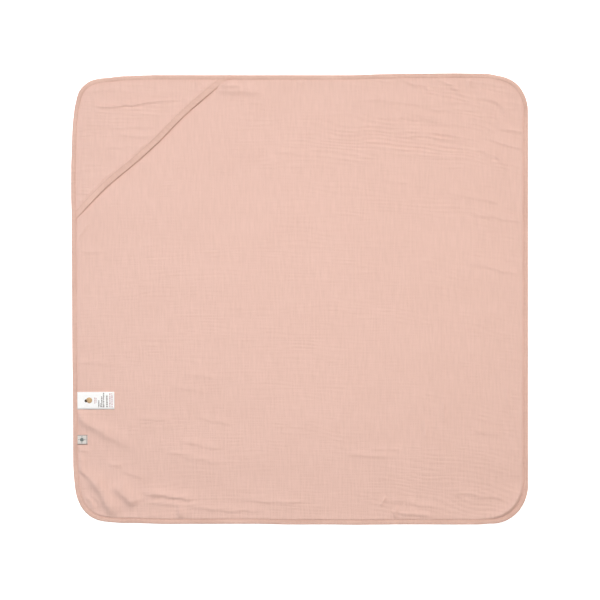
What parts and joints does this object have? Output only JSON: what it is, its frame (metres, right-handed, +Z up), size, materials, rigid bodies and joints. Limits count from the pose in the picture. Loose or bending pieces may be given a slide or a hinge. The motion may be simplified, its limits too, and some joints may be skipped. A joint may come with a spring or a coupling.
{
  "type": "hooded baby towel",
  "caption": "Square gauze baby towel lying flat, with a hood sewn over one rounded corner, bound edges and two small side labels.",
  "frame": {"origin": "under the middle of the towel, on the surface that it lies on", "axes": "+Z up out of the face ply, +Y towards the side with the hood, +X to the right seen from above; the hood is in the corner at -X, +Y and the labels are on the -X side"},
  "size_m": [0.9, 0.888, 0.0066],
  "materials": {
    "gauze": "crinkled cotton gauze, dusty pink",
    "binding_tape": "folded plain-weave cotton bias tape, a shade deeper than the cloth",
    "thread": "spun polyester sewing thread, matched pink",
    "satin_ribbon": null,
    "woven_label": "pale grey woven tab with a plain motif"
  },
  "bodies": {
    "towel": {"body_face_ply": "gauze", "body_inner_ply_upper": "gauze", "body_inner_ply_lower": "gauze", "body_back_ply": "gauze", "edge_binding": "binding_tape", "edge_binding_stitches": "thread"},
    "hood": {"hood_face_ply": "gauze", "hood_lining_ply": "gauze", "hood_binding": "binding_tape", "hood_binding_stitches": "thread"},
    "care_label": {"care_label": "satin_ribbon"},
    "brand_label": {"brand_label": "woven_label"}
  },
  "joints": [
    {"name": "hood_lift", "type": "hinge", "parent": "towel", "child": "hood", "pos_m": [-0.41892, 0.41292, 0.0034], "axis": [-0.7349, -0.6782, 0], "range_deg": [0, 15]},
    {"name": "care_label_flip", "type": "hinge", "parent": "towel", "child": "care_label", "pos_m": [-0.441, -0.2013, 0.0048], "axis": [0, -1, 0], "range_deg": [0, 175]},
    {"name": "brand_label_flip", "type": "hinge", "parent": "towel", "child": "brand_label", "pos_m": [-0.441, -0.2785, 0.0048], "axis": [0, -1, 0], "range_deg": [0, 175]}
  ]
}
